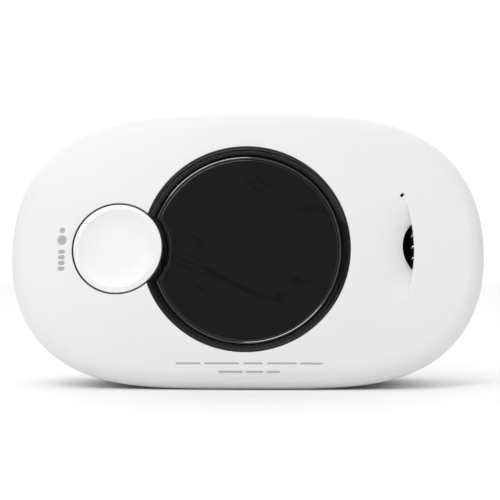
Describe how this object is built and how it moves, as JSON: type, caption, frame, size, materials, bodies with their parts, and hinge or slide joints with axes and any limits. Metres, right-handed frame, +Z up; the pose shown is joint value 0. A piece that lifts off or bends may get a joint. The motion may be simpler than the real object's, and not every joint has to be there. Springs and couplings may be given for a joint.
{
  "type": "carbon monoxide alarm",
  "caption": "Wide oval carbon monoxide alarm with a crowned front, round black window, dished test button, scooped sound port and hinged cell door at the back.",
  "frame": {"origin": "under the middle of the body, on the surface it stands on", "axes": "+Z up, front faces -Y, +X to the right seen from the front, wall plane at the largest Y"},
  "size_m": [0.118, 0.04, 0.0685],
  "materials": {
    "shell_white": "satin moulded ABS, very fine grain",
    "shell_rear": "matte moulded ABS",
    "label_paper": "matte silver-grey film",
    "bezel_black": "high-gloss moulded black",
    "window_black": "high-gloss smoked window, near opaque",
    "button_white": "semi-gloss moulded ABS",
    "board_green": "solder resist",
    "display_glass": "polished",
    "frame_grey": "matte",
    "rubber_grey": "matte",
    "led_green": "clear tinted epoxy",
    "led_amber": "clear tinted epoxy",
    "led_red": "clear tinted epoxy",
    "guide_clear": "clear acrylic",
    "part_black": "matte moulded",
    "plunger_ivory": "matte",
    "brass": "plain",
    "mesh_black": "woven mesh",
    "copper": "enamelled winding",
    "steel": "nickel-plated",
    "filter_grey": "porous filter",
    "sleeve_dark": "shrink sleeve",
    "ceramic_tan": "fired ceramic",
    "cell_jacket": "printed-free sleeve",
    "spring_steel": "nickel-plated wire",
    "screw_steel": "zinc-plated"
  },
  "bodies": {
    "housing": {"front_cover": "shell_white", "rear_housing": "shell_rear", "window_bezel": "bezel_black", "display_window": "window_black", "main_board": "board_green", "display_glass": "display_glass", "display_frame": "frame_grey", "display_connectors": "rubber_grey", "led_power": "led_green", "led_fault": "led_amber", "led_alarm": "led_red", "light_guide": "guide_clear", "tact_switch": "part_black", "horn_housing": "part_black", "piezo_disc": "brass", "insect_mesh": "mesh_black", "horn_coil": "copper", "co_sensor": "steel", "sensor_filter": "filter_grey", "sensor_pins": "brass", "microcontroller": "part_black", "capacitors": "sleeve_dark", "chip_parts": "ceramic_tan", "battery_1": "cell_jacket", "battery_2": "cell_jacket", "battery_3": "cell_jacket", "battery_springs": "spring_steel", "battery_contacts": "steel", "case_screws": "screw_steel", "board_screws": "screw_steel"},
    "button": {"test_button": "button_white"},
    "plunger": {"switch_plunger": "plunger_ivory"},
    "door": {"battery_door": "shell_rear", "rating_label": "label_paper"}
  },
  "joints": [
    {"name": "button_press", "type": "slide", "parent": "housing", "child": "button", "axis": [0, 0.9848, -0.1736], "range_m": [0, 0.0005], "stiffness_N_per_m": 3000},
    {"name": "plunger_press", "type": "slide", "parent": "housing", "child": "plunger", "axis": [0, 0.9848, -0.1736], "range_m": [0, 0.0005]},
    {"name": "door_hinge", "type": "hinge", "parent": "housing", "child": "door", "pos_m": [0, 0.0184, 0.0064], "axis": [-1, 0, 0], "range_deg": [0, 90]}
  ],
  "couplings": [
    {"joint": "plunger_press", "follows": "button_press", "ratio": 1}
  ]
}
